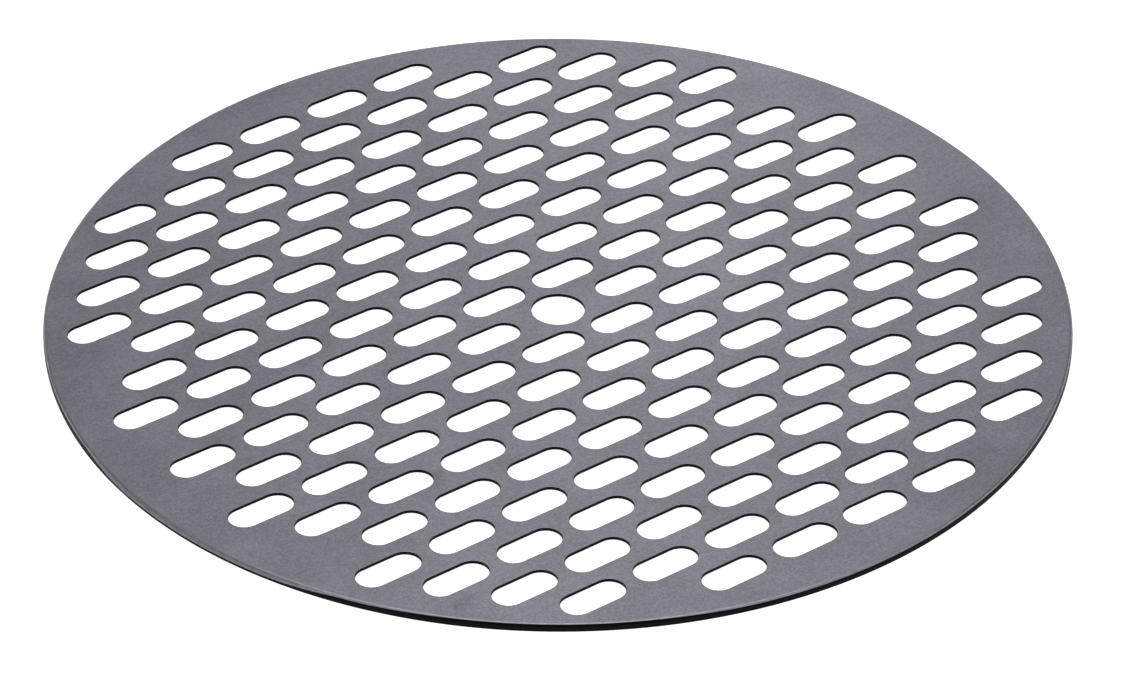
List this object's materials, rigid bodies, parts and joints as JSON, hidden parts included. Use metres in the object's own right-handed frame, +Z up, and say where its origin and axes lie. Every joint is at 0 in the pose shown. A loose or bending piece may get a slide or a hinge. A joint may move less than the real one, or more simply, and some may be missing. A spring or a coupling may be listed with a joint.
{
  "type": "floor drain grate",
  "caption": "Round floor drain grate: a flat disc of sheet metal with staggered round-ended slots, a centre lifting hole and a rim turned down all round.",
  "frame": {"origin": "centre of the plane that the rim's lower edge rests on, under the centre hole", "axes": "+Z up out of the top face, +X along the slots' long axis, +Y across the rows of slots"},
  "size_m": [0.3048, 0.3048, 0.0024],
  "materials": {
    "stainless_sheet": "satin mill finish, dull grey, with light handling marks"
  },
  "bodies": {
    "root": {"grate_plate": "stainless_sheet"}
  },
  "joints": []
}
